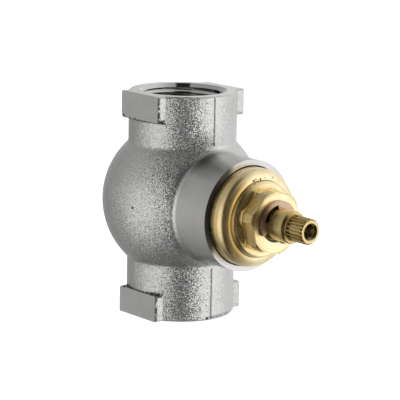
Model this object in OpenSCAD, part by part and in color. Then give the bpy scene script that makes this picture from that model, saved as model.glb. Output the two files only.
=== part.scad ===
// Concealed stop valve with a quarter-turn ceramic headpart.
// The pipe axis is Z and the lower rim stands at z = 0.
// The headpart points to the front, along -Y, and is drawn in its own frame
// by on_spindle_axis(): there z is the distance from the pipe axis.

/* [Casting] */
// Length of the body from rim to rim
body_h = 73.5; // [73:0.5:90]
// Outside diameter of the two pipe ends
pipe_d = 35.4; // [34.6:0.2:38]
// Outside diameter of the ball
ball_d = 52; // [51:0.5:56]
// Height of the ball and of the spindle axis above the middle of the body
ball_rise = 0.65; // [0:0.05:2]
// Wall of the ball
ball_wall = 3.4; // [3:0.1:3.8]
// Outside diameter of the boss
boss_d = 36; // [35.6:0.2:37]
// Distance of the boss face from the pipe axis
boss_l = 33.7; // [33:0.1:38]
// Fillet where the pipes meet the ball
pipe_fillet = 1.6; // [0.6:0.1:2.4]
// Fillet where the boss meets the ball
boss_fillet = 2; // [0.6:0.1:2.4]
// Chamfer round the outside of each rim
rim_chamfer = 0.5; // [0.2:0.1:1]

/* [Wrench pads] */
// Size across the two flats
pad_across = 35.8; // [35.4:0.1:37]
// Width of each flat
pad_w = 19.2; // [16:0.2:24]
// Height of each pad
pad_h = 8.7; // [6:0.1:12]
// Radius of the upright corners of the pads
pad_corner = 0.3; // [0.2:0.1:1.5]
// Radius at the ends of the pads towards the ball
pad_round = 1.4; // [0.5:0.1:2.5]
// Chamfer at the ends of the pads on the rim
pad_foot = 0.5; // [0.2:0.1:1.2]

/* [Pipe ends] */
// Major diameter of the female pipe thread
port_d = 26.44; // [25.6:0.02:27]
// Length of the female pipe thread
port_l = 15; // [12:0.5:16]
// Diameter of the chamfer at the mouth
mouth_d = 28.8; // [28:0.1:31]
// Diameter of the waterway behind the thread
throat_d = 23; // [18:0.5:24]

/* [Dividing wall] */
// Distance of the seat face in front of the pipe axis
seat_l = 3; // [2.5:0.1:4]
// Bore of the seat
seat_bore_d = 12; // [9:0.5:13]
// Diameter of the raised land round the seat
seat_land_d = 19; // [17:0.5:21]
// Height of the raised land
seat_land_h = 1; // [0.5:0.1:1.5]
// Thickness of the dividing wall
septum_t = 3; // [2.5:0.1:3.5]
// Distance of the level stretches of the wall from the spindle axis
septum_off = 12.8; // [12.6:0.1:13.6]
// Radius at the corners of the dividing wall
septum_corner = 1.5; // [0.5:0.1:1.5]

/* [Boss bore] */
// Diameter of the thread that holds the adaptor bush
boss_thread_d = 30; // [29:0.1:30.6]
// Diameter of the waterway round the nose of the headpart
gallery_d = 24.6; // [22:0.2:25]
// Diameter of the recess for the flange of the bush
recess_d = 32.4; // [32:0.1:33]
// Depth of the recess
recess_h = 2.4; // [2.2:0.1:3]
// Length of boss bore left smooth between the cavity and the thread
boss_step_l = 2.6; // [2:0.1:3]
// Distance of the back of the gallery from the seat face
gallery_l = 4; // [3:0.1:5]

/* [Adaptor bush] */
// Height of the bush in front of the boss face
bush_stand = 5.8; // [4.5:0.1:9]
// Diameter of the flange of the bush
bush_flange_d = 31.6; // [31.2:0.1:31.9]
// Radius round the front of the flange
bush_round = 3; // [0.8:0.1:3.2]
// Distance of the turned line from the boss face
bush_line_l = 1.5; // [0.8:0.1:2.4]
// Width and depth of the turned line
bush_line_w = 0.35; // [0.2:0.05:0.6]
// Diameter of the thread that holds the headpart
head_thread_d = 20.96; // [20.5:0.02:21.4]
// Gap behind the bush at the end of the boss thread
bush_end_gap = 0.7; // [0.4:0.1:1.2]

/* [Headpart] */
// Diameter of the flange of the headpart
head_flange_d = 24.4; // [23.6:0.1:25.4]
// Thickness of the flange at its edge
head_flange_t = 2; // [1.4:0.1:3]
// Chamfer round the flange
head_chamfer = 0.7; // [0.3:0.1:1]
// Height of the sloping shoulder between the flange and the hexagon
head_shoulder_h = 0.5; // [0.3:0.1:2.5]
// Size across the flats of the hexagon
hex_af = 19; // [18:0.1:20]
// Height of the hexagon
hex_h = 5.2; // [3:0.1:8]
// Diameter to which the corners of the hexagon are turned
hex_corner_d = 20.6; // [20:0.1:21.6]
// Chamfer at the front of those corners
hex_chamfer = 0.4; // [0.1:0.1:0.6]
// Angle of the first corner of the hexagon
hex_turn = 46.7; // [0:0.1:60]
// Chamfer at the mouth of the spindle bore
bore_chamfer = 0.4; // [0.2:0.1:0.8]
// Depth of the thread-end groove under the flange
neck_depth = 0.9; // [0.5:0.1:1]
// Outside diameter of the nose
nose_d = 18.8; // [18.4:0.1:19.6]
// Inside diameter of the nose
chamber_d = 15.6; // [15.2:0.1:15.8]
// Distance of the end of the nose from the seat face
nose_gap = 1.2; // [0.8:0.1:2]
// Width of the two side windows
window_w = 10; // [6:0.5:11]
// Length of the two side windows
window_h = 7; // [5:0.1:7.4]
// Length of the chamber between the windows and the stops
window_gap = 1.8; // [1.4:0.1:2]
// Angle taken by each of the two stops
stop_angle = 28; // [20:1:36]
// Height of the stops above the chamber wall
stop_h = 1.3; // [1:0.1:1.5]

/* [Spindle] */
// Diameter of the smooth shaft
shaft_d = 10.3; // [9.6:0.1:10.6]
// Distance of the shoulder from the front of the hexagon
shoulder_l = 7.6; // [5:0.1:14]
// Distance of the spindle end from its shoulder
spline_l = 7.9; // [6:0.1:14]
// Outside diameter of the spline
spline_d = 8.2; // [7.6:0.1:8.6]
// Depth of the spline's grooves
spline_depth = 0.6; // [0.3:0.05:0.8]
// Number of teeth of the spline
spline_teeth = 20; // [12:1:28]
// Chamfer at the end of the spindle
tip_chamfer = 0.55; // [0.2:0.05:0.9]
// Major diameter of the tapped hole for the handle screw
screw_d = 5; // [3:0.1:5.2]
// Depth of the tapped hole
screw_l = 11; // [8:0.5:14]
// Length of the collar between the shoulder and the spline
collar_l = 1.2; // [0.6:0.1:2]
// Diameter of that collar
collar_d = 8.6; // [8.2:0.1:9]
// Chamfer at the shoulder
shoulder_chamfer = 0.4; // [0.2:0.1:0.6]
// Thickness of the flange that carries the two stop lugs
flange_t = 2.5; // [2:0.1:2.8]
// Diameter of the stem between the flange and the driver
stem_d = 6.8; // [5.5:0.1:7.6]
// Thickness of the driver that turns the disc
driver_t = 2.4; // [1.8:0.1:3]
// Width of the driver
lug_w = 4.4; // [3.6:0.1:5]
// Length of the two driver lugs
lug_l = 1.4; // [1:0.1:1.6]
// Distance from the slide ring to the rear seal groove
rear_ring_gap = 3; // [2:0.1:4]
// Distance from the front seal groove to the foot of the hexagon
front_ring_gap = 2.4; // [2:0.1:4]

/* [Ceramic discs] */
// Thickness of each disc
disc_t = 3.2; // [2.6:0.1:3.6]
// Opening angle of each port in the discs
port_angle = 80; // [50:1:84]
// Radius at which the ports start
port_inner_r = 2.4; // [1.5:0.1:3]
// Radius at which the ports end
port_outer_r = 5.6; // [4.5:0.1:6]
// Width of the two keys that hold the fixed disc
key_w = 3.6; // [2.6:0.1:4.4]
// Quarter turn between the two stops
turn_angle = 90; // [60:5:90]

/* [Seals] */
// Thickness of the lip seal under the discs
seal_t = 3; // [2.4:0.1:3.4]
// Bevel round the lip of that seal
seal_lip = 0.5; // [0.3:0.1:0.8]
// Wall of the support ring inside the lip seal
support_wall = 0.7; // [0.5:0.1:1]
// Section of the seal ring in the boss
bush_ring_s = 1.7; // [1.5:0.1:1.8]
// Section of the seal ring under the headpart's flange
head_ring_s = 1.7; // [1.4:0.1:1.9]
// Section of the two seal rings on the spindle
shaft_ring_s = 1.3; // [1.1:0.1:1.5]
// Thickness of the slide ring
slide_ring_t = 1; // [0.6:0.1:1.5]

/* [Snap ring] */
// Outside diameter of the snap ring
snap_ring_d = 14.6; // [13.6:0.1:16]
// Thickness of the snap ring
snap_ring_t = 1; // [0.6:0.1:1.4]
// Diameter of the two hollows between its claw and its legs
snap_hollow_d = 12; // [11.2:0.1:12.6]
// Angle that the claw takes
snap_claw = 52; // [30:2:60]
// Angle that each leg takes
snap_leg = 39; // [30:1:45]
// Angle that stays open between the legs
snap_open = 80; // [60:2:100]
// Direction of the claw, counted from the right-hand side
snap_turn = 68; // [0:2:180]
// Radius at the corners of the legs
snap_corner = 0.6; // [0.2:0.1:1]
// Bevel round the front of the snap ring
snap_bevel = 0.15; // [0.05:0.05:0.3]
// Depth of its groove in the spindle
snap_groove_depth = 0.6; // [0.4:0.1:0.7]

/* [Fits] */
// Gap of a turning fit, measured on the radius
turn_gap = 0.05; // [0.02:0.01:0.08]
// Gap of a screwed or seated fit, measured on the radius
seat_gap = 0.05; // [0.02:0.01:0.1]
// Gap between the two lapped discs
lap_gap = 0.02; // [0.01:0.01:0.05]
// Gap between the snap ring and the front of the hexagon
snap_gap = 0.15; // [0.05:0.05:0.3]
// Gap between the snap ring and the floor of its groove
snap_seat_gap = 0.03; // [0.01:0.01:0.08]
// Gap round parts that turn freely
free_gap = 0.3; // [0.2:0.05:0.35]
// Angle left free at each stop
stop_gap = 1; // [0.5:0.5:2]

/* [Hidden] */
$fn = 96;
eps = 0.01;
axis_z = body_h / 2 + ball_rise;
ball_r = ball_d / 2;
cavity_r = ball_r - ball_wall;

// Places along the spindle axis, counted from the pipe axis
boss_thread_l0 = sqrt(pow(cavity_r, 2) - pow(boss_thread_d / 2, 2)) + boss_step_l;
recess_l = boss_l - recess_h;
bush_back_l = boss_thread_l0 + bush_end_gap;
bush_front_l = boss_l + bush_stand;
flange_front_l = bush_front_l + head_flange_t;
hex_l0 = flange_front_l + head_shoulder_h;
hex_l1 = hex_l0 + hex_h;
fixed_disc_l = seat_l + seal_t;
turning_disc_l = fixed_disc_l + disc_t + lap_gap;
driver_l = turning_disc_l + disc_t;
flange_l = driver_l + window_h + window_gap;
slide_l = flange_l + flange_t;
inner_shoulder_l = slide_l + slide_ring_t + lap_gap;
nose_l = seat_l + nose_gap;
shaft_l1 = hex_l1 + shoulder_l;
tip_l = shaft_l1 + spline_l;

// Radii that follow from the fits
shaft_r = shaft_d / 2;
shaft_bore_r = shaft_r + turn_gap;
chamber_r = chamber_d / 2;
disc_r = chamber_r - free_gap;
stop_r = chamber_r - stop_h;
spindle_flange_r = stop_r - free_gap;
snap_l = hex_l1 + snap_gap;
snap_groove_r = shaft_r - snap_groove_depth;
bush_ring_l = recess_l + 0.3;
shaft_ring_r = shaft_bore_r - turn_gap / 2 - shaft_ring_s / 2;
shaft_ring_floor = shaft_ring_r - shaft_ring_s / 2 - 0.02;
rear_ring_l = inner_shoulder_l + rear_ring_gap;
front_ring_l = hex_l0 - front_ring_gap;
head_neck_r = head_thread_d / 2 - neck_depth;
head_ring_r = head_neck_r + head_ring_s / 2 + seat_gap;
head_ring_recess_r = head_ring_r + head_ring_s / 2 + seat_gap;
head_ring_recess_h = head_ring_s + 0.15;
lug_angle = 180 - turn_angle - stop_angle - 2 * stop_gap;

// Places what is drawn along z on the spindle axis, pointing to the front
module on_spindle_axis()
{
  translate([0, 0, axis_z])
    rotate([90, 0, 0])
      children();
}

// A plain disc or post of radius r between the distances l0 and l1
module post(r, l0, l1)
{
  translate([0, 0, l0])
    cylinder(r = r, h = l1 - l0);
}

// A ring between the radii r0 and r1 and the distances l0 and l1
module ring(r0, r1, l0, l1)
{
  difference()
  {
    post(r1, l0, l1);
    post(r0, l0 - 1, l1 + 1);
  }
}

// A cone between the distances l0 and l1
module taper(r0, r1, l0, l1)
{
  translate([0, 0, l0])
    cylinder(r1 = r0, r2 = r1, h = l1 - l0);
}

// A round seal ring of section s on the radius r, at the distance l
module seal_ring(r, s, l)
{
  translate([0, 0, l])
    rotate_extrude()
      translate([r, 0])
        circle(d = s);
}

// A wedge of the given angle about the direction a, from the axis outwards
module wedge(a, angle, l0, l1)
{
  reach = 40;
  half = angle / 2;
  translate([0, 0, l0])
    linear_extrude(height = l1 - l0)
      polygon([
        [0, 0],
        [reach * cos(a - half), reach * sin(a - half)],
        [reach * cos(a), reach * sin(a)],
        [reach * cos(a + half), reach * sin(a + half)]
      ]);
}

// Half section that fills the corner between a straight wall at radius r and the ball
module ball_corner(r, fillet)
{
  up = sqrt(pow(ball_r + fillet, 2) - pow(r + fillet, 2));
  touch = ball_r / (ball_r + fillet);
  difference()
  {
    polygon([
      [r - 1, up],
      [r, up],
      [r + fillet, up],
      [(r + fillet) * touch, up * touch],
      [r - 1, up * touch - 1]
    ]);
    translate([r + fillet, up])
      circle(r = fillet);
  }
}

// Ball with both pipes, before anything is bored
module casting_blank()
{
  pipe_r = pipe_d / 2;
  rotate_extrude()
    polygon([
      [0, 0],
      [pipe_r - rim_chamfer, 0],
      [pipe_r, rim_chamfer],
      [pipe_r, body_h - rim_chamfer],
      [pipe_r - rim_chamfer, body_h],
      [0, body_h]
    ]);
  translate([0, 0, axis_z])
    sphere(r = ball_r);
  for (side = [0, 1])
    translate([0, 0, axis_z])
      mirror([0, 0, side])
        rotate_extrude()
          ball_corner(pipe_r, pipe_fillet);
  on_spindle_axis()
  {
    post(boss_d / 2, 0, boss_l);
    rotate_extrude()
      ball_corner(boss_d / 2, boss_fillet);
  }
}

// Rectangle with round corners, drawn flat
module pad_plan()
{
  long = pad_across / 2 - pad_corner;
  wide = pad_w / 2 - pad_corner;
  square([pad_across, 2 * wide], center = true);
  square([2 * long, pad_w], center = true);
  for (x = [-long, long])
    for (y = [-wide, wide])
      translate([x, y])
        circle(r = pad_corner);
}

// Outline of a pad seen from the side, drawn from the lower rim upwards
module pad_side()
{
  half = pad_w / 2;
  shoulder = pad_h - pad_round;
  polygon([
    [pad_foot - half, 0],
    [half - pad_foot, 0],
    [half, pad_foot],
    [half, shoulder],
    [-half, shoulder],
    [-half, pad_foot]
  ]);
  translate([pad_round - half, shoulder - 1])
    square([pad_w - 2 * pad_round, pad_round + 1]);
  for (side = [-1, 1])
    translate([side * (half - pad_round), shoulder])
      circle(r = pad_round);
}

// The pair of pads on one pipe end, drawn from the lower rim upwards
module pads()
{
  intersection()
  {
    translate([0, 0, -1])
      linear_extrude(height = pad_h + 2)
        pad_plan();
    translate([-pad_across, 0, 0])
      rotate([90, 0, 90])
        linear_extrude(height = 2 * pad_across)
          pad_side();
  }
}

// Waterway of one pipe end, drawn from the lower rim upwards
module port_void()
{
  mouth_h = (mouth_d - port_d) / 2;
  translate([0, 0, -1])
    cylinder(d = port_d, h = port_l + 1);
  translate([0, 0, -1])
    cylinder(d1 = mouth_d + 2, d2 = port_d, h = mouth_h + 1);
  cylinder(d = throat_d, h = axis_z - septum_off - septum_t / 2);
}

// Section of the dividing wall: x is the distance from the pipe axis, y is the height
module septum_profile(back, span)
{
  reach = septum_off + septum_t;
  front = back + septum_t;
  difference()
  {
    union()
    {
      translate([back, -reach])
        square([septum_t, 2 * reach]);
      translate([back, -reach])
        square([span, septum_t]);
      translate([front - span, septum_off])
        square([span, septum_t]);
      inner_corner(front, -septum_off, 1);
      inner_corner(back, septum_off, -1);
    }
    outer_corner(back, -reach, 1);
    outer_corner(front, reach, -1);
  }
}

// Fillet in an inner corner at x, y; side is the direction in which it opens
module inner_corner(x, y, side)
{
  translate([x, y])
    rotate(side > 0 ? 0 : 180)
      difference()
      {
        translate([-eps, -eps])
          square(septum_corner + eps);
        translate([septum_corner, septum_corner])
          circle(r = septum_corner);
      }
}

// What is taken off an outer corner at x, y to leave it round
module outer_corner(x, y, side)
{
  translate([x, y])
    rotate(side > 0 ? 0 : 180)
      difference()
      {
        translate([-1, -1])
          square(septum_corner + 1);
        translate([septum_corner, septum_corner])
          circle(r = septum_corner);
      }
}

// The S-shaped dividing wall with its seat, before it is trimmed by the cavity
module septum()
{
  span = ball_d + 10;
  back = seat_l - seat_land_h - septum_t;
  on_spindle_axis()
    difference()
    {
      union()
      {
        translate([span / 2, 0, 0])
          rotate([0, -90, 0])
            linear_extrude(height = span)
              septum_profile(back, span);
        post(seat_land_d / 2, back + eps, seat_l);
      }
      post(seat_bore_d / 2, back - 1, seat_l + 1);
    }
}

// Everything the water fills inside the casting
module casting_void()
{
  difference()
  {
    union()
    {
      translate([0, 0, axis_z])
        sphere(r = cavity_r);
      port_void();
      translate([0, 0, body_h])
        mirror([0, 0, 1])
          port_void();
    }
    septum();
  }
  on_spindle_axis()
  {
    post(gallery_d / 2, seat_l + gallery_l, boss_thread_l0 + 1);
    post(boss_thread_d / 2, boss_thread_l0, recess_l + 1);
    post(recess_d / 2, recess_l, boss_l + 1);
  }
}

module valve_body()
{
  color([0.6, 0.6, 0.6])
    difference()
    {
      union()
      {
        casting_blank();
        pads();
        translate([0, 0, body_h])
          mirror([0, 0, 1])
            pads();
      }
      // The flats of the pads run on over the pipe ends
      for (side = [-1, 1])
        for (z = [-1, body_h - pad_h])
          translate([side * (pad_across / 2 + 5) - 5, -pad_w / 2, z])
            cube([10, pad_w, pad_h + 1]);
      casting_void();
    }
}

module adaptor_bush()
{
  flange_r = bush_flange_d / 2;
  line_l = boss_l + bush_line_l;
  color([0.78, 0.66, 0.42])
    on_spindle_axis()
      difference()
      {
        union()
        {
          post(boss_thread_d / 2 - seat_gap, bush_back_l, recess_l + eps);
          post(flange_r, recess_l, bush_front_l - bush_round);
          translate([0, 0, bush_front_l - bush_round])
            rotate_extrude()
            {
              square([flange_r - bush_round, bush_round]);
              translate([flange_r - bush_round, 0])
                circle(r = bush_round);
            }
        }
        post(head_thread_d / 2, bush_back_l - 1, bush_front_l + 1);
        post(head_ring_recess_r, bush_front_l - head_ring_recess_h, bush_front_l + 1);
        ring(recess_d / 2 - bush_ring_s, recess_d, bush_ring_l, bush_ring_l + bush_ring_s + 0.1);
        ring(flange_r - bush_line_w, recess_d, line_l, line_l + bush_line_w);
      }
}

module adaptor_o_ring()
{
  middle_l = bush_ring_l + bush_ring_s / 2 + 0.05;
  color([0.1, 0.1, 0.1])
    on_spindle_axis()
      seal_ring(recess_d / 2 - bush_ring_s / 2 - 0.02, bush_ring_s - 0.04, middle_l);
}

// Hexagon with turned corners and a chamfer at its front, between the distances l0 and l1
module hex_block(l0, l1)
{
  corner_r = hex_corner_d / 2;
  intersection()
  {
    translate([0, 0, l0])
      rotate([0, 0, hex_turn])
        cylinder(r = hex_af / 2 / cos(30), h = l1 - l0, $fn = 6);
    union()
    {
      post(corner_r, l0 - 1, l1 - hex_chamfer);
      taper(corner_r, corner_r - hex_chamfer, l1 - hex_chamfer, l1);
    }
  }
}

module headpart_housing()
{
  flange_r = head_flange_d / 2;
  color([0.8, 0.68, 0.44])
    on_spindle_axis()
      difference()
      {
        union()
        {
          post(nose_d / 2, nose_l, bush_front_l - 1);
          post(head_thread_d / 2 - seat_gap, bush_back_l + 4, bush_front_l - head_ring_recess_h - 0.3);
          post(head_neck_r, bush_front_l - head_ring_recess_h - 1, bush_front_l + eps);
          post(flange_r, bush_front_l, flange_front_l - head_chamfer);
          taper(flange_r, flange_r - head_chamfer, flange_front_l - head_chamfer, flange_front_l);
          taper(flange_r - head_chamfer, hex_af / 2, flange_front_l, hex_l0 + 0.2);
          hex_block(flange_front_l, hex_l1);
        }
        post(shaft_bore_r, inner_shoulder_l - 1, hex_l1 + 1);
        taper(shaft_bore_r, shaft_bore_r + bore_chamfer, hex_l1 - bore_chamfer, hex_l1 + eps);
        post(chamber_r, nose_l - 1, flange_l - 1);
        difference()
        {
          post(chamber_r, flange_l - 2, inner_shoulder_l);
          for (a = [0, 180])
            difference()
            {
              wedge(a, stop_angle, flange_l - 1.01, inner_shoulder_l + 1);
              post(stop_r, flange_l - 2, inner_shoulder_l + 2);
            }
        }
        for (a = [0, 180])
          rotate([0, 0, a])
            translate([0, -window_w / 2, driver_l + 0.2])
              cube([nose_d, window_w, window_h]);
        for (a = [90, 270])
          rotate([0, 0, a])
            translate([0, -key_w / 2 - seat_gap, nose_l - 1])
              cube([nose_d, key_w + 2 * seat_gap, fixed_disc_l + disc_t - nose_l + 1]);
      }
}

module headpart_o_ring()
{
  color([0.1, 0.1, 0.1])
    on_spindle_axis()
      seal_ring(head_ring_r, head_ring_s, bush_front_l - head_ring_recess_h / 2);
}

// Outline of the spline: trapezoid teeth on a round core
function spline_outline(r, depth, n) = [
  for (i = [0 : n - 1])
    for (p = [[-0.15, 0], [0.15, 0], [0.34, depth], [0.66, depth]])
      [(r - p[1]) * cos((i + p[0]) * 360 / n), (r - p[1]) * sin((i + p[0]) * 360 / n)]
];

module spindle()
{
  spline_r = spline_d / 2;
  step_l = shaft_l1 + collar_l;
  groove_h = shaft_ring_s + 0.3;
  color([0.74, 0.62, 0.38])
    on_spindle_axis()
      difference()
      {
        union()
        {
          post(stem_d / 2, driver_l, flange_l + 1);
          post(spindle_flange_r, flange_l, slide_l);
          intersection()
          {
            post(disc_r, flange_l, slide_l);
            for (a = [0, 180])
              wedge(a + stop_angle / 2 + stop_gap + lug_angle / 2, lug_angle, flange_l - 1, slide_l + 1);
          }
          post(shaft_r, slide_l - 1, shaft_l1);
          taper(shaft_r, shaft_r - shoulder_chamfer, shaft_l1, shaft_l1 + shoulder_chamfer);
          post(collar_d / 2, shaft_l1, step_l);
          intersection()
          {
            translate([0, 0, step_l - 1])
              linear_extrude(height = tip_l - step_l + 1)
                polygon(spline_outline(spline_r, spline_depth, spline_teeth));
            union()
            {
              post(spline_r + 1, step_l - 2, tip_l - tip_chamfer - 0.1);
              taper(spline_r + 0.12, spline_r - tip_chamfer + 0.02, tip_l - tip_chamfer - 0.1, tip_l);
            }
          }
          intersection()
          {
            post(disc_r, driver_l - lug_l, driver_l + driver_t);
            union()
            {
              translate([-chamber_d / 2, -lug_w / 2, driver_l])
                cube([chamber_d, lug_w, driver_t]);
              for (side = [-1, 1])
                translate([side * chamber_d / 2 - chamber_d / 8, -lug_w / 2, driver_l - lug_l])
                  cube([chamber_d / 4, lug_w, driver_t]);
            }
          }
        }
        for (l = [rear_ring_l, front_ring_l])
          ring(shaft_ring_floor, chamber_d, l, l + groove_h);
        ring(snap_groove_r, chamber_d, snap_l - 0.05, snap_l + snap_ring_t + 0.05);
        post(screw_d / 2, tip_l - screw_l, tip_l + 1);
        taper(0.2, screw_d / 2, tip_l - screw_l - screw_d / 4, tip_l - screw_l + eps);
        taper(screw_d / 2, screw_d / 2 + 0.3, tip_l - 0.3, tip_l + eps);
      }
}

// What is taken off the end of a leg that stands on the x axis between two radii
module snap_leg_end(r0, r1)
{
  difference()
  {
    translate([r0 - 1, -1])
      square([r1 - r0 + 2, 1 + snap_corner]);
    translate([r0 + snap_corner, 0])
      square([r1 - r0 - 2 * snap_corner, 2 * snap_corner]);
    for (x = [r0 + snap_corner, r1 - snap_corner])
      translate([x, snap_corner])
        circle(r = snap_corner);
  }
}

// Flat ring pushed onto the spindle from the side: a claw, two hollows and two legs
module snap_ring()
{
  inner_r = snap_groove_r + snap_seat_gap;
  outer_r = snap_ring_d / 2;
  front_l = snap_l + snap_ring_t;
  leg_end = 180 - snap_open / 2;
  hollow = leg_end - snap_leg - snap_claw / 2;
  color([0.72, 0.56, 0.46])
    on_spindle_axis()
      rotate([0, 0, snap_turn])
        difference()
        {
          union()
          {
            post(outer_r, snap_l, front_l - snap_bevel);
            taper(outer_r, outer_r - snap_bevel, front_l - snap_bevel, front_l);
          }
          post(inner_r, snap_l - 1, front_l + 1);
          wedge(180, snap_open, snap_l - 1, front_l + 1);
          for (side = [0, 1])
            mirror([0, side, 0])
            {
              intersection()
              {
                wedge(-(snap_claw + hollow) / 2, hollow, snap_l - 1, front_l + 1);
                post(snap_hollow_d / 2, snap_l - 1, front_l + 1);
              }
              rotate([0, 0, -leg_end])
                translate([0, 0, snap_l - 1])
                  linear_extrude(height = snap_ring_t + 2)
                    snap_leg_end(inner_r, outer_r);
            }
        }
}

module spindle_o_ring_front()
{
  color([0.1, 0.1, 0.1])
    on_spindle_axis()
      seal_ring(shaft_ring_r, shaft_ring_s, front_ring_l + shaft_ring_s / 2 + 0.15);
}

module spindle_o_ring_rear()
{
  color([0.1, 0.1, 0.1])
    on_spindle_axis()
      seal_ring(shaft_ring_r, shaft_ring_s, rear_ring_l + shaft_ring_s / 2 + 0.15);
}

module slide_ring()
{
  color([0.92, 0.92, 0.9])
    on_spindle_axis()
      ring(shaft_r + 0.1, spindle_flange_r, slide_l, slide_l + slide_ring_t);
}

// A ceramic disc with two ports about the direction a
module ceramic_disc(l, a)
{
  difference()
  {
    post(disc_r, l, l + disc_t);
    for (side = [0, 180])
      difference()
      {
        intersection()
        {
          wedge(a + side, port_angle, l - 1, l + disc_t + 1);
          post(port_outer_r, l - 1, l + disc_t + 1);
        }
        post(port_inner_r, l - 2, l + disc_t + 2);
      }
  }
}

module turning_disc()
{
  notch_w = lug_w + 2 * seat_gap;
  color([0.95, 0.95, 0.93])
    on_spindle_axis()
      difference()
      {
        ceramic_disc(turning_disc_l, 90);
        for (side = [-1, 1])
          translate([side * chamber_d / 2 - chamber_d / 8 - seat_gap, -notch_w / 2, driver_l - lug_l - 0.1])
            cube([chamber_d / 4 + 2 * seat_gap, notch_w, 2]);
      }
}

module fixed_disc()
{
  color([0.95, 0.95, 0.93])
    on_spindle_axis()
    {
      ceramic_disc(fixed_disc_l, 0);
      for (side = [90, 270])
        intersection()
        {
          ring(disc_r - 1, nose_d / 2 - 0.3, fixed_disc_l, fixed_disc_l + disc_t - 0.3);
          rotate([0, 0, side])
            translate([0, -key_w / 2, fixed_disc_l])
              cube([nose_d, key_w, disc_t]);
        }
    }
}

module seat_seal()
{
  color([0.12, 0.12, 0.12])
    on_spindle_axis()
      difference()
      {
        union()
        {
          post(chamber_r - seat_gap, seat_l + seal_lip, fixed_disc_l);
          taper(chamber_r - seat_gap - seal_lip, chamber_r - seat_gap, seat_l, seat_l + seal_lip);
        }
        post(seat_bore_d / 2 + support_wall, seat_l - 1, fixed_disc_l + 1);
      }
}

module seal_support_ring()
{
  color([0.9, 0.9, 0.88])
    on_spindle_axis()
      ring(seat_bore_d / 2 + seat_gap, seat_bore_d / 2 + support_wall - 0.01, seat_l + 0.3, fixed_disc_l);
}

valve_body();
adaptor_bush();
adaptor_o_ring();
headpart_housing();
headpart_o_ring();
spindle();
snap_ring();
spindle_o_ring_front();
spindle_o_ring_rear();
slide_ring();
turning_disc();
fixed_disc();
seat_seal();
seal_support_ring();
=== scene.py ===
import math

import bpy
import numpy as np
from mathutils import Matrix, Vector


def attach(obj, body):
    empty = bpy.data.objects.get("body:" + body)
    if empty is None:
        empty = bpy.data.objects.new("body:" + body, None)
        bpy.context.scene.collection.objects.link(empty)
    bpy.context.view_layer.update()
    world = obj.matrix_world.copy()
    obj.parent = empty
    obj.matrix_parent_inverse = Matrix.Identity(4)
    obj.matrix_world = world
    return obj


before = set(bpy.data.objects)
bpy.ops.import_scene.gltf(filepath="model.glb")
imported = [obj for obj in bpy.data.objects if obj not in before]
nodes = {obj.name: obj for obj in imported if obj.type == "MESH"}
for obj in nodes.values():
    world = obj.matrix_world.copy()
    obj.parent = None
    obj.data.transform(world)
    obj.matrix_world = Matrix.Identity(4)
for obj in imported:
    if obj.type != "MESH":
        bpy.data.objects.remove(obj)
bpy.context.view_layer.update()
scene = bpy.context.scene
MM = 0.001

# The view.
# A long lens at the left front, a little above the spindle. The eye looks at
# the middle of the pipe axis and is tipped by about a degree, as in the photo.
VIEW_AZIMUTH = -39.051
VIEW_ELEVATION = 11.614
VIEW_DISTANCE = 644.54
VIEW_TARGET = np.array([0.0, 0.0, 37.0])
VIEW_YAW, VIEW_PITCH, VIEW_ROLL = -0.542, -0.014, -0.967
FOCAL_PIXELS = 1960.49
PICTURE = 400
SENSOR = 36.0


def heading(azimuth, elevation):
    """Unit vector: azimuth is counted from -Y towards +X, elevation from level."""
    a, e = math.radians(azimuth), math.radians(elevation)
    return np.array([math.sin(a) * math.cos(e), -math.cos(a) * math.cos(e), math.sin(e)])


def turned(v, axis, degrees):
    """v turned about a unit axis: v cos + (axis x v) sin + axis (axis.v)(1 - cos)."""
    a = math.radians(degrees)
    return v * math.cos(a) + np.cross(axis, v) * math.sin(a) + axis * (axis @ v) * (1 - math.cos(a))


outward = heading(VIEW_AZIMUTH, VIEW_ELEVATION)
ahead = -outward
right = np.cross(ahead, [0, 0, 1])
right /= np.linalg.norm(right)
up = np.cross(right, ahead)
ahead, right = turned(ahead, up, VIEW_YAW), turned(right, up, VIEW_YAW)
ahead, up = turned(ahead, right, VIEW_PITCH), turned(up, right, VIEW_PITCH)
right, up = turned(right, ahead, VIEW_ROLL), turned(up, ahead, VIEW_ROLL)
placed = np.eye(4)
placed[:3, 0], placed[:3, 1], placed[:3, 2] = right, up, -ahead
placed[:3, 3] = (VIEW_TARGET + VIEW_DISTANCE * outward) * MM
camera = bpy.data.objects.new("camera", bpy.data.cameras.new("camera"))
camera.data.sensor_width = SENSOR
camera.data.lens = FOCAL_PIXELS * SENSOR / PICTURE
camera.data.clip_start = 0.05
camera.data.clip_end = 20.0
camera.matrix_world = Matrix(placed.tolist())
scene.collection.objects.link(camera)
scene.camera = camera
scene.view_settings.view_transform = "Standard"


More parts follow.
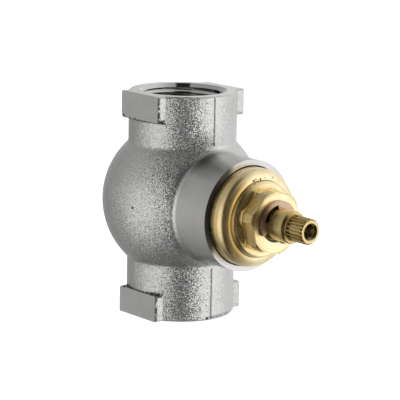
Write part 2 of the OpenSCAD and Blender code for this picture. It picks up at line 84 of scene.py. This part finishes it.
# The studio.
# White all round for the eye. Metal sees a room with large soft boxes left and
# right, a pale wall behind, and a tall black card that leans over the lens.
class Wire:
    """One output of a node. Operators on wires add Math nodes; add() adds any
    other node, with its settings first and then its sockets' values or links."""

    def __init__(self, socket):
        self.socket = socket
        self.tree = socket.id_data

    def add(self, kind, settings=None, sockets=None, out=0):
        made = self.tree.nodes.new("ShaderNode" + kind)
        for name, value in (settings or {}).items():
            setattr(made, name, value)
        for name, value in (sockets or {}).items():
            if isinstance(value, Wire):
                self.tree.links.new(value.socket, made.inputs[name])
            else:
                made.inputs[name].default_value = value
        return Wire(made.outputs[out])

    def sum(self, operation, *others):
        return self.add("Math", {"operation": operation}, dict(enumerate((self, *others))))

    def __add__(self, other):
        return self.sum("ADD", other)

    def __mul__(self, other):
        return self.sum("MULTIPLY", other)

    def __sub__(self, other):
        return self.sum("SUBTRACT", other)

    def __truediv__(self, other):
        return self.sum("DIVIDE", other)

    def __pow__(self, other):
        return self.sum("POWER", other)

    def __neg__(self):
        return self.sum("MULTIPLY", -1.0)

    def __abs__(self):
        return self.sum("ABSOLUTE")

    def __rsub__(self, other):
        return -self + other

    __radd__, __rmul__ = __add__, __mul__

    def most(self, other):
        return self.sum("MAXIMUM", other)

    def step(self, low, high):
        """0 at low and beyond, 1 at high and beyond, smooth between them."""
        flip = low > high
        ends = {"From Min": min(low, high), "From Max": max(low, high),
                "To Min": float(flip), "To Max": float(not flip)}
        return self.add("MapRange", {"interpolation_type": "SMOOTHSTEP"}, {"Value": self, **ends})

    def near(self, place, reach):
        """1 at place, falling to 0 at the distance reach from it."""
        return abs(self - place).step(reach, reach * 0.3)

    def vector(self, operation, *others, out=0):
        return self.add("VectorMath", {"operation": operation}, dict(enumerate((self, *others))), out)

    def scaled(self, factor):
        return self.add("VectorMath", {"operation": "SCALE"}, {"Vector": self, "Scale": factor})

    def parts(self):
        split = self.add("SeparateXYZ", None, {"Vector": self})
        return [Wire(s) for s in split.socket.node.outputs]

    def noise(self, scale, detail=2.0, roughness=0.5, out=0):
        """Smooth noise, about 0 to 1 round 0.5; scale in cells per millimetre."""
        return self.add("TexNoise", None, {"Vector": self, "Scale": scale, "Detail": detail,
                                           "Roughness": roughness}, out)

    def mix(self, first, second):
        """first where this mask is 0, second where it is 1."""
        return self.add("Mix", {"data_type": "RGBA"}, {0: self, 6: first, 7: second}, 2)


world = bpy.data.worlds.new("studio")
scene.world = world
world.use_nodes = True
world.node_tree.nodes.clear()
sky = Wire(world.node_tree.nodes.new("ShaderNodeTexCoord").outputs["Generated"])
towards = sky.vector("NORMALIZE")
upright = towards.parts()[2]
SOFT_LIGHTS = [  # azimuth, elevation, tightness, strength
    (-100, 0, 5.0, 0.41),
    (-75, -18, 4.5, 0.70),
    (-75, 45, 4.0, 0.03),
    (18, -5, 6.0, 1.36),
    (95, -50, 6.0, 0.60),
    (62, 33, 5.0, 0.62),
    (92, 0, 5.0, 0.24),
    (128, 8, 6.0, 0.42),
    (170, 45, 4.0, 0.10),
]
gloss = upright.step(-1.0, -0.55) * 0.28 + 0.02
for azimuth, elevation, tightness, strength in SOFT_LIGHTS:
    facing = towards.vector("DOT_PRODUCT", tuple(heading(azimuth, elevation)), out=1)
    gloss = gloss + ((facing - 1.0) * tightness).sum("EXPONENT") * strength
CARD_AZIMUTH = -36
front = towards.vector("DOT_PRODUCT", tuple(heading(CARD_AZIMUTH, 0)), out=1)
across = abs(towards.vector("DOT_PRODUCT", tuple(heading(CARD_AZIMUTH + 90, 0)), out=1))
leaning = front.most(0.001) + upright.most(0.0) * 0.28
foot = (upright / front.most(0.001)).step(-4.0, -2.5)
card = (across / leaning).step(0.59, 0.39) * front.step(0.0, 0.04) * foot
gloss = gloss * (1.0 - card * 0.95)
path = sky.add("LightPath")
rays = path.socket.node.outputs
by_eye = Wire(rays["Is Camera Ray"]).most(Wire(rays["Is Transmission Ray"]))
in_metal = Wire(rays["Is Glossy Ray"])
PLAIN_LIGHT = 0.62
level = by_eye + (1.0 - by_eye) * (in_metal * gloss + (1.0 - in_metal) * PLAIN_LIGHT)
shine = sky.add("Background", None, {"Color": (1, 1, 1, 1), "Strength": level})
world.node_tree.links.new(
    shine.socket, world.node_tree.nodes.new("ShaderNodeOutputWorld").inputs["Surface"])

LAMPS = [  # name, azimuth, elevation, distance in mm, width in mm, power in watts
    ("left soft box", -95, 28, 900, 700, 6.0),
    ("right soft box", 55, 30, 900, 700, 8.0),
    ("top soft box", -20, 80, 900, 800, 5.0),
]
for name, azimuth, elevation, distance, width, power in LAMPS:
    lamp = bpy.data.lights.new(name, "AREA")
    lamp.shape, lamp.size, lamp.energy = "DISK", width * MM, power
    box = bpy.data.objects.new(name, lamp)
    scene.collection.objects.link(box)
    from_there = heading(azimuth, elevation)
    box.location = (VIEW_TARGET + distance * from_there) * MM
    box.rotation_mode = "QUATERNION"
    box.rotation_quaternion = Vector(from_there).to_track_quat("Z", "Y")
    box.visible_glossy = False
    box.visible_camera = False


# The floor.
# A plain pale sheet that the lower rim stands on. It is white to the eye and
# keeps a soft shadow; the metal doesn't mirror it.
def grid_piece(name, points, around=True, ends=False):
    """Mesh of a grid of points (rows, columns, 3) in mm. Each square of the grid
    is one face; around joins the last column to the first, and ends closes the
    first and the last row with one face each."""
    rows, columns = points.shape[:2]
    i = np.arange(rows - 1)[:, None]
    j = np.arange(columns if around else columns - 1)[None, :]
    j2 = (j + 1) % columns
    quads = np.stack([i * columns + j, i * columns + j2, (i + 1) * columns + j2, (i + 1) * columns + j], -1)
    faces = quads.reshape(-1, 4).tolist()
    if ends:
        faces.append(list(range(columns))[::-1])
        faces.append(list(range((rows - 1) * columns, rows * columns)))
    mesh = bpy.data.meshes.new(name)
    mesh.from_pydata((points.reshape(-1, 3) * MM).tolist(), [], faces)
    mesh.polygons.foreach_set("use_smooth", np.ones(len(faces), bool))
    mesh.update()
    piece = bpy.data.objects.new(name, mesh)
    scene.collection.objects.link(piece)
    return piece


FLOOR_R = 700.0
angle = np.linspace(0, 2 * np.pi, 96, endpoint=False)
reach = np.linspace(0.001, FLOOR_R, 24)[:, None]
sheet = np.stack([reach * np.cos(angle), reach * np.sin(angle), reach * 0 * angle], -1)
floor = grid_piece("floor", sheet[::-1])
pale = bpy.data.materials.new("pale floor")
pale.use_nodes = True
pale.node_tree.nodes.clear()
seen = Wire(pale.node_tree.nodes.new("ShaderNodeLightPath").outputs["Is Camera Ray"])
seen = seen.most(Wire(seen.socket.node.outputs["Is Transmission Ray"]))
dull = seen.add("BsdfDiffuse", None, {"Color": (0.36, 0.36, 0.36, 1)})
glow = seen.add("Emission", None, {"Color": (1, 1, 1, 1), "Strength": seen * 0.78})
both = seen.add("AddShader", None, {0: dull, 1: glow})
pale.node_tree.links.new(
    both.socket, pale.node_tree.nodes.new("ShaderNodeOutputMaterial").inputs["Surface"])
floor.data.materials.append(pale)
floor.visible_glossy = False


# The casting.
# The body is one brass casting, blasted and then nickel plated to a matt,
# sparkling grey. Rims, mouths, flats and boss are cut before plating and
# stay smooth. Shade is painted dark in the creases at the pads' ends and
# along their burred front edges, where some dirt sits too, and black dirt
# lies in a few pits.
def new_finish(name):
    """A material with its shader; gives it and the Object coordinates in mm."""
    made = bpy.data.materials.new(name)
    made.use_nodes = True
    at = Wire(made.node_tree.nodes.new("ShaderNodeTexCoord").outputs["Object"])
    return made, at.scaled(1.0 / MM)


def set_finish(made, **sockets):
    """Puts numbers, colours and wires on the shader's own sockets."""
    shader = made.node_tree.nodes["Principled BSDF"]
    for name, value in sockets.items():
        socket = shader.inputs[name.replace("_", " ")]
        if isinstance(value, Wire):
            made.node_tree.links.new(value.socket, socket)
        else:
            socket.default_value = value


def wear(node, made):
    """Puts the finish on a CAD piece."""
    nodes[node].data.materials.clear()
    nodes[node].data.materials.append(made)


def facing_out(at):
    """The way the surface faces, as a wire."""
    return Wire(at.add("NewGeometry").socket.node.outputs["Normal"])


def shaken(surface, at, *layers):
    """The surface's direction tipped by layers of noise: each layer adds
    strength * (noise - 0.5) in all three directions, and the sum is made a unit."""
    for scale, detail, strength in layers:
        push = at.noise(scale, detail, 0.5, out=1).vector("SUBTRACT", (0.5, 0.5, 0.5))
        surface = surface.vector("ADD", push.scaled(strength))
    return surface.vector("NORMALIZE")


def specks(at, spots, ragged):
    """1 in a ragged spot round each (x, y, z, radius in mm), 0 elsewhere."""
    found = 0.0
    for x, y, z, radius in spots:
        distance = at.vector("DISTANCE", (x, y, z), out=1)
        found = (distance + ragged * radius).step(radius * 1.7, radius * 1.1).most(found)
    return found


AXIS_Z = 37.4
BODY_H = 73.5
MOUTH_R, BOSS_FRONT, RECESS_R = 14.6, 33.64, 16.3
PAD_X, PAD_Y, PAD_H = 17.9, 9.6, 8.7
# Black for dirt and for painted shade along the pads.
DIRT_AND_SHADE_BLACK = (0.035, 0.033, 0.030, 1)
# Blue-black for painted shade on the boss's face.
SHADE_BLUE_BLACK = (0.030, 0.031, 0.038, 1)
nickel, at = new_finish("matt nickel")
x, y, z = at.parts()
pipe_r = (x * x + y * y) ** 0.5
up_z = z - AXIS_Z
boss_r = (x * x + up_z * up_z) ** 0.5
from_middle = abs(z - BODY_H / 2)
# Cut faces, then the smoother cast ones; each is 1 where it lies.
rims = from_middle.step(BODY_H / 2 - 0.09, BODY_H / 2 - 0.03)
bores = pipe_r.step(MOUTH_R + 0.05, MOUTH_R - 0.05)
boss_face = (-y).step(BOSS_FRONT - 0.04, BOSS_FRONT + 0.04)
recess = boss_r.step(RECESS_R + 0.05, RECESS_R - 0.05) * (-y).step(30.5, 31.0)
cut = rims.most(bores).most(boss_face).most(recess)
pad_zone = from_middle.step(BODY_H / 2 - PAD_H - 0.3, BODY_H / 2 - PAD_H + 0.1)
flats = abs(x).step(PAD_X - 0.15, PAD_X - 0.05) * pad_zone
boss_side = boss_r.step(20.5, 18.5) * (-y).step(10.0, 23.0)
pad_sides = abs(y).step(PAD_Y - 0.2, PAD_Y - 0.05) * abs(x).step(14.5, 15.2) * pad_zone
blasted = (1.0 - cut) * (1.0 - flats * 0.94) * (1.0 - boss_side * 0.88) * (1.0 - pad_sides * 0.60)
# Painted shade in the creases at the left pads' ends, painted shadow and dirt along their burred front
# edges, dirt at the foot, and a few black pits.
ragged = at.noise(1.6, 3.0, 0.65)
pad_end_shade = from_middle.near(BODY_H / 2 - PAD_H - 0.05, 0.45) * x.step(-13.2, -14.2) * abs(y).step(9.9, 9.5)
burr_shadow_and_dirt = x.near(-PAD_X + 0.35, 0.75) * y.step(-PAD_Y + 0.5, -PAD_Y + 0.2) * pad_zone
low_rim = z.near(1.0, 0.5) * y.step(-15.5, -16.5) * abs(x - 3.0).step(6.0, 4.0)
PITS = [(-17.9, 8.1, 65.5, 0.5), (-17.9, 4.9, 64.9, 0.45), (-17.9, 2.3, 65.1, 0.4),
        (-25.2, -6.4, 38.2, 0.45), (-17.9, 7.1, 8.6, 0.5), (-2.7, -17.5, 0.7, 0.6),
        (-13.0, 6.2, 73.5, 0.45), (-6.3, 12.4, 73.5, 0.35), (-13.1, 3.7, 73.5, 0.4)]
dirt_and_shade = pad_end_shade.most(burr_shadow_and_dirt).most(low_rim * 0.7) * ragged.step(0.38, 0.50)
dirt_and_shade = dirt_and_shade.most(specks(at, PITS, ragged))
# Nickel, clouded; darker on the upper rim's left and the pads' sides, with
# painted shade in the corner over the boss and painted blue-black shade on
# the left of the boss's face.
cloud = at.noise(0.09, 3.0, 0.55)
fine = at.noise(3.2, 2.0, 0.6)
tone = (cloud * 0.5 + fine * 0.5).step(0.3, 0.7).mix((0.585, 0.578, 0.565, 1), (0.665, 0.660, 0.650, 1))
# Painted shade: blue-black on the left of the boss's face, where the face mirrors the dark gap beside the
# bush.
boss_face_shade = boss_face * (up_z * 0.26 - x * 0.966).step(9.5, 12.5)
# Painted shade: the ball darkens in the corner between the top pipe, ball and boss.
shaded_corner = at.vector("DISTANCE", (-7.0, -17.8, 55.3), out=1).step(9.0, 2.0)
tone = (boss_face_shade * 0.85).mix(tone, SHADE_BLUE_BLACK)
tone = (rims * x.step(-6.0, -10.0) * 0.6).mix(tone, (0.36, 0.35, 0.34, 1))
tone = (pad_sides * 0.7).mix(tone, (0.48, 0.47, 0.46, 1))
tone = (shaded_corner * 0.8).mix(tone, (0.24, 0.24, 0.23, 1))
# The grain, and a waviness that all cast faces share.
smooth = 1.0 - cut
inward = at.add("CombineXYZ", None, {0: -x, 1: 0.0, 2: -up_z}).vector("NORMALIZE")
dished = facing_out(at).vector("ADD", inward.scaled(boss_face * 0.06))
sparkle = (3.4, 1.0, blasted * (shaded_corner + 1.70) + 0.02)
grain = shaken(dished, at, sparkle, (0.5, 1.0, smooth * 0.05), (0.11, 1.0, smooth * 0.04))
set_finish(nickel, Base_Color=(dirt_and_shade * 0.92).mix(tone, DIRT_AND_SHADE_BLACK), Metallic=1.0,
           Roughness=0.06 + blasted * 0.24 + flats * 0.16 + boss_side * 0.26 + dirt_and_shade * 0.3,
           Normal=grain)
wear("valve_body", nickel)


# The parting line.
# Where the two halves of the mould met, the casting keeps a fine raised line
# down the front of both pipes, and down the back from rim to rim.
def arc(centre, radius, first, last, count):
    """Points on a circle in the plane of the line, angles in degrees from +Y up."""
    a = np.radians(np.linspace(first, last, count))[:, None]
    return np.array(centre) + radius * np.concatenate([np.cos(a), np.sin(a)], 1)


def raised_line(name, path, x, width, height):
    """A low rounded ridge along a path (y, z): each section is half an ellipse,
    width wide and height high, over a flat foot that is sunk in the surface."""
    run = np.gradient(path, axis=0)
    run /= np.linalg.norm(run, axis=1, keepdims=True)
    away = np.stack([run[:, 1], -run[:, 0]], 1)
    a = np.linspace(0, np.pi, 7)
    side = np.concatenate([np.cos(a), [-1.0, 1.0]]) * width / 2
    rise = np.concatenate([np.sin(a) * height, [-0.3, -0.3]])
    flat = path[:, None, :] + away[:, None, :] * rise[None, :, None]
    points = np.stack([x + side + 0 * flat[..., 0], flat[..., 0], flat[..., 1]], -1)
    piece = grid_piece(name, points, ends=True)
    piece.data.materials.append(nickel)
    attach(piece, "valve")


LINE_X, LINE_W, LINE_H = -1.2, 0.32, 0.02
PIPE_R, BALL_R = 17.7, 26.0
pipe_y = math.sqrt(PIPE_R ** 2 - LINE_X ** 2)
ball_r = math.sqrt(BALL_R ** 2 - LINE_X ** 2)
FILLET = 1.6
fillet_up = math.sqrt((ball_r + FILLET) ** 2 - (pipe_y + FILLET) ** 2)
meeting = math.degrees(math.atan2(fillet_up, pipe_y + FILLET))
upper_front = np.stack([np.full(24, -pipe_y), np.linspace(72.9, 57.6, 24)], 1)
lower_front = np.stack([np.full(24, -pipe_y), np.linspace(17.2, 0.6, 24)], 1)
down_half = np.concatenate([
    np.stack([np.full(16, pipe_y), np.linspace(72.9, AXIS_Z + fillet_up, 16)], 1),
    arc((pipe_y + FILLET, AXIS_Z + fillet_up), FILLET, 180, 180 + meeting, 8)[1:],
    arc((0.0, AXIS_Z), ball_r, meeting, 0, 24)[1:]])
up_half = down_half[::-1] * [1, -1] + [0, 2 * AXIS_Z]
up_half = up_half[up_half[:, 1] > 0.6]
raised_line("parting_line_upper", upper_front[::-1], LINE_X, LINE_W, LINE_H)
raised_line("parting_line_lower", lower_front[::-1], LINE_X, LINE_W, LINE_H)
raised_line("parting_line_back", np.concatenate([down_half, up_half[1:]]), LINE_X, LINE_W, LINE_H)


# The burrs.
# The cutter that milled the left-hand flats pushed a ragged burr over their
# front edges, and nobody took it off before plating.
def burr(name, low, high, phase):
    """A thin tube up the edge: radius and centre wander with the height as a sum
    of three sines, and both ends run out to a point."""
    z = np.linspace(low, high, 72)[:, None]
    a = np.linspace(0, 2 * np.pi, 8, endpoint=False)[None, :]
    wander = 0.5 * np.sin(2.3 * z + phase) + 0.3 * np.sin(5.9 * z + 2 * phase) + 0.2 * np.sin(13 * z)
    taper = np.clip(np.minimum(z - low, high - z) / 0.5, 0.08, 1.0)
    r = (0.15 + 0.07 * wander) * taper
    bulge = 0.06 * np.sin(3.7 * z + 3 * phase)
    points = np.stack([-PAD_X + 0.04 + bulge + r * np.cos(a), -PAD_Y + 0.05 - bulge + r * np.sin(a),
                       z + 0 * a], -1)
    piece = grid_piece(name, points, ends=True)
    piece.data.materials.append(nickel)
    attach(piece, "valve")


burr("burr_upper", BODY_H - PAD_H + 0.2, BODY_H - 0.5, 0.7)
burr("burr_lower", 0.5, PAD_H - 0.2, 2.1)

# The pipe threads.
# Parallel G 3/4 threads, cut into both pipe ends. Each is one ridge wound
# round the bore with its foot in the wall, running out at both ends.
PORT_R, PORT_PITCH, RIDGE_H = 13.22, 1.814, 1.162
RIDGE = np.array([(-0.80, -0.10), (-0.74, 0.03), (-0.27, 0.96), (-0.12, RIDGE_H),
                  (0.12, RIDGE_H), (0.27, 0.96), (0.74, 0.03), (0.80, -0.10)])


def wound_ridge(name, radius, pitch, ridge, first, last, place, steps=96):
    """A ridge profile (across, height) carried along a helix inside a bore:
    distance = first + pitch * turns + across, radius = bore - height * fade,
    where fade rises from 0 to 1 in the first and last third of a turn."""
    turns = (last - first - np.ptp(ridge[:, 0])) / pitch
    s = np.linspace(0, turns, int(steps * turns))[:, None]
    fade = np.clip(np.minimum(s, turns - s) / 0.33, 0.0, 1.0) ** 0.7
    height = np.where(ridge[:, 1] > 0, ridge[:, 1] * fade - 0.06 * (1 - fade), ridge[:, 1])
    distance = first - ridge[:, 0].min() + pitch * s + ridge[:, 0]
    return grid_piece(name, place(radius - height, 2 * np.pi * s, distance), ends=True)


def on_pipe(r, a, distance):
    """Radius and angle about the pipe axis, height above the lower rim."""
    return np.stack([r * np.cos(a), r * np.sin(a), distance + 0 * r], -1)


for name, first, last in (("lower_port_thread", 0.6, 14.6), ("upper_port_thread", 58.9, 72.9)):
    thread = wound_ridge(name, PORT_R, PORT_PITCH, RIDGE, first, last, on_pipe)
    thread.data.materials.append(nickel)
    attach(thread, "valve")


# The adaptor bush.
# Turned from brass bar and left bright. The tool leaves fine rings, so a face
# shines across them and is dark along them.
def turned_brass(name, bright, deep, ring_tilt):
    """A finish with turning rings about the spindle axis. The surface is tipped
    across the rings by ring_tilt * (noise of radius and distance - 0.5). Gives
    the material, the places on it, its tone, its surface, the way across the
    rings and its stains."""
    made, at = new_finish(name)
    x, y, z = at.parts()
    up_z = z - AXIS_Z
    r = (x * x + up_z * up_z) ** 0.5
    where = at.add("CombineXYZ", None, {0: r, 1: y, 2: 0.0})
    rings = where.noise(5.5, 3.0, 0.75)
    broad = where.noise(1.1, 2.0, 0.5)
    round_about = at.add("CombineXYZ", None, {0: -up_z, 1: 0.0, 2: x}).vector("NORMALIZE")
    round_about = round_about.add("VectorTransform", {
        "vector_type": "VECTOR", "convert_from": "OBJECT", "convert_to": "WORLD"}, {0: round_about})
    surface = facing_out(at)
    across = surface.vector("CROSS_PRODUCT", round_about)
    tilt = (rings - 0.5) * ring_tilt + (broad - 0.5) * ring_tilt * 0.5
    surface = surface.vector("ADD", across.scaled(tilt))
    stain = at.noise(0.35, 4.0, 0.6).step(0.35, 0.75)
    tone = (stain * 0.55 + broad.step(0.3, 0.7) * 0.45).mix(bright, deep)
    return made, at, x, r, -y, tone, surface, across, stain


BRASS = (0.98, 0.86, 0.58, 1)
# A deeper brass for painted shade on the left of the bush and the housing.
SHADE_BRASS = (0.78, 0.52, 0.16, 1)
# Black for dark specks and for painted shade in creases, the bore's mouth, the clip's groove and the tapped
# hole.
SPECK_AND_SHADE_BLACK = (0.010, 0.009, 0.008, 1)
BUSH_R, BUSH_FRONT, FLANGE_R = 15.8, 39.4, 12.2
bush_brass, at, x, r, l, tone, surface, across, stain = turned_brass(
    "turned brass bush", BRASS, (0.86, 0.69, 0.36, 1), 0.28)
# Shade is painted on the left as a darker, deeper brass, most on the inner part of the front. There the
# face falls off a little outwards.
inner = r.step(14.8, 13.4) * l.step(BUSH_FRONT - 1.4, BUSH_FRONT - 0.8)
side = r.step(BUSH_R - 0.3, BUSH_R - 0.1) * l.step(36.6, 36.2)
left = x.step(-2.0, -10.0)
surface = surface.vector("ADD", across.scaled(inner * left * -0.38 + side * 0.13))
tone = (left * (inner * 0.5 + 0.45)).mix(tone, SHADE_BRASS)
# Painted shade in the crease where the bush meets the headpart's flange, with a few dark specks on its
# face.
crevice_shade = r.near(FLANGE_R + 0.1, 0.3) * l.step(BUSH_FRONT - 0.10, BUSH_FRONT + 0.02)
BUSH_SPECKS = [(-3.2, -39.4, 49.9, 0.45), (-2.3, -39.4, 50.3, 0.3), (-0.4, -39.4, 50.2, 0.4),
               (1.5, -39.4, 50.5, 0.25), (4.9, -39.4, 50.1, 0.3), (7.8, -39.0, 50.3, 0.25)]
dark = (crevice_shade * 0.7).most(specks(at, BUSH_SPECKS, at.noise(2.0, 3.0, 0.6)))
set_finish(bush_brass, Base_Color=(dark * 0.95).mix(tone, SPECK_AND_SHADE_BLACK), Metallic=1.0,
           Roughness=0.27 + stain * 0.08 + inner * 0.10, Normal=shaken(surface, at, (1.2, 2.0, 0.05)))
wear("adaptor_bush", bush_brass)


# The headpart's housing.
# Turned brass with a milled 19 mm hexagon for the spanner. Its flats are
# blotched, and shade is painted black in the mouth of the spindle's bore.
FLANGE_FRONT, HEX_BACK, HEX_FRONT = 41.4, 42.0, 47.2
head_brass, at, x, r, l, tone, surface, across, stain = turned_brass(
    "turned brass housing", BRASS, (0.84, 0.66, 0.33, 1), 0.28)
shoulder = l.step(FLANGE_FRONT + 0.05, FLANGE_FRONT + 0.15) * l.step(HEX_BACK + 0.25, HEX_BACK + 0.1)
shoulder = shoulder * r.step(9.2, 9.6)
surface = surface.vector("ADD", across.scaled(shoulder * 0.42))
blotch = at.noise(0.9, 3.0, 0.6).step(0.38, 0.62)
flats = l.step(HEX_BACK - 0.1, HEX_BACK + 0.1) * r.step(9.0, 9.4)
# Painted shade, black, in the mouth of the spindle's bore.
bore_mouth_shade = l.step(HEX_FRONT - 0.3, HEX_FRONT - 0.2) * r.step(6.25, 5.95)
FLANGE_SPECKS = [(-5.0, -41.4, 48.5, 0.35), (-4.1, -41.4, 48.6, 0.35), (0.6, -41.4, 49.4, 0.3)]
dark = specks(at, FLANGE_SPECKS, at.noise(2.0, 3.0, 0.6)).most(bore_mouth_shade)
# Painted shade: the left of the housing is a darker, deeper brass.
tone = (x.step(-1.0, -8.0) * 0.35).mix(tone, SHADE_BRASS)
tone = (flats * (blotch * 0.3 + 0.3)).mix(tone, (0.56, 0.42, 0.16, 1))
set_finish(head_brass, Base_Color=(dark * 0.96).mix(tone, SPECK_AND_SHADE_BLACK), Metallic=1.0 - dark * 0.9,
           Roughness=0.24 + stain * 0.08, Normal=shaken(surface, at, (1.4, 2.0, flats * 0.10 + 0.04)))
wear("headpart_housing", head_brass)

# The spindle.
# The brass spindle is turned, and its end is rolled with twenty teeth for the
# handle. A hole tapped M5 takes the handle's screw; shade is painted dark inside it and round the clip's
# groove.
SCREW_RIDGE = np.array([(-0.39, -0.06), (-0.36, 0.0), (-0.06, 0.42),
                        (0.06, 0.42), (0.36, 0.0), (0.39, -0.06)])
spindle_brass, at, _, r, l, tone, surface, _, stain = turned_brass(
    "spindle brass", (0.80, 0.63, 0.32, 1), (0.58, 0.42, 0.17, 1), 0.40)
SPLINE_BACK, TIP, CLIP_AT, HOLE_R = 55.8, 62.7, 47.85, 2.5
spline = l.step(SPLINE_BACK - 0.2, SPLINE_BACK + 0.2) * r.step(3.7, 3.9) * l.step(TIP - 0.1, TIP - 0.4)
# Painted shade round the clip's groove and inside the tapped hole.
clip_and_hole_shade = (l.near(CLIP_AT, 0.9) * 0.95).most(r.step(HOLE_R + 0.25, HOLE_R + 0.05) * 0.45)
tone = (spline * 0.75).mix(tone, (0.42, 0.32, 0.12, 1))
set_finish(spindle_brass, Base_Color=clip_and_hole_shade.mix(tone, SPECK_AND_SHADE_BLACK), Metallic=1.0,
           Roughness=0.22 + stain * 0.10, Normal=shaken(surface, at, (1.6, 2.0, 0.06)))
wear("spindle", spindle_brass)


def on_spindle(r, a, distance):
    """Radius and angle about the spindle axis, distance from the pipe axis."""
    return np.stack([r * np.cos(a), -distance + 0 * r, AXIS_Z + r * np.sin(a)], -1)


thread = wound_ridge("handle_screw_thread", HOLE_R, 0.8, SCREW_RIDGE, 52.2, TIP - 0.2, on_spindle, 48)
thread.data.materials.append(spindle_brass)
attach(thread, "spindle_body")

# The snap ring.
# A flat clip stamped from spring bronze, pushed into a groove of the spindle.
# It is brushed one way, and keeps the spindle from going in.
bronze, at = new_finish("spring bronze")
brushed = at.vector("MULTIPLY", (1.0, 1.0, 7.0)).noise(1.1, 3.0, 0.6)
tone = brushed.step(0.3, 0.7).mix((0.47, 0.33, 0.22, 1), (0.63, 0.46, 0.33, 1))
set_finish(bronze, Base_Color=tone, Metallic=1.0, Roughness=0.26 + 0.12 * brushed,
           Normal=shaken(facing_out(at), at, (1.5, 2.0, 0.10)))
wear("snap_ring", bronze)

# The seals.
# Moulded black rubber: the seal rings and the lip seal under the discs.
rubber, at = new_finish("black rubber")
grain = at.noise(4.0, 3.0, 0.6)
bump = at.add("Bump", None, {"Strength": 0.5, "Distance": 0.02 * MM, "Height": grain})
tone = grain.step(0.3, 0.7).mix((0.018, 0.018, 0.019, 1), (0.032, 0.032, 0.034, 1))
set_finish(rubber, Base_Color=tone, Roughness=0.5 + 0.2 * grain, Normal=bump)
for name in ("adaptor_o_ring", "headpart_o_ring", "spindle_o_ring_front",
             "spindle_o_ring_rear", "seat_seal"):
    wear(name, rubber)

# The plastic rings.
# The slide ring and the support ring are moulded in white acetal.
plastic, at = new_finish("white acetal")
grain = at.noise(1.6, 3.0, 0.5)
bump = at.add("Bump", None, {"Strength": 0.4, "Distance": 0.015 * MM, "Height": grain})
tone = grain.step(0.3, 0.7).mix((0.76, 0.75, 0.71, 1), (0.82, 0.81, 0.78, 1))
set_finish(plastic, Base_Color=tone, Roughness=0.38 + 0.15 * grain, Normal=bump)
for name in ("slide_ring", "seal_support_ring"):
    wear(name, plastic)

# The ceramic discs.
# Two discs of pressed white alumina, lapped flat on the faces that meet.
ceramic, at = new_finish("alumina")
grain = at.noise(2.2, 4.0, 0.6)
bump = at.add("Bump", None, {"Strength": 0.3, "Distance": 0.01 * MM, "Height": grain})
tone = grain.step(0.35, 0.65).mix((0.80, 0.79, 0.75, 1), (0.87, 0.86, 0.83, 1))
set_finish(ceramic, Base_Color=tone, Roughness=0.18 + 0.2 * grain, Normal=bump)
for name in ("turning_disc", "fixed_disc"):
    wear(name, ceramic)
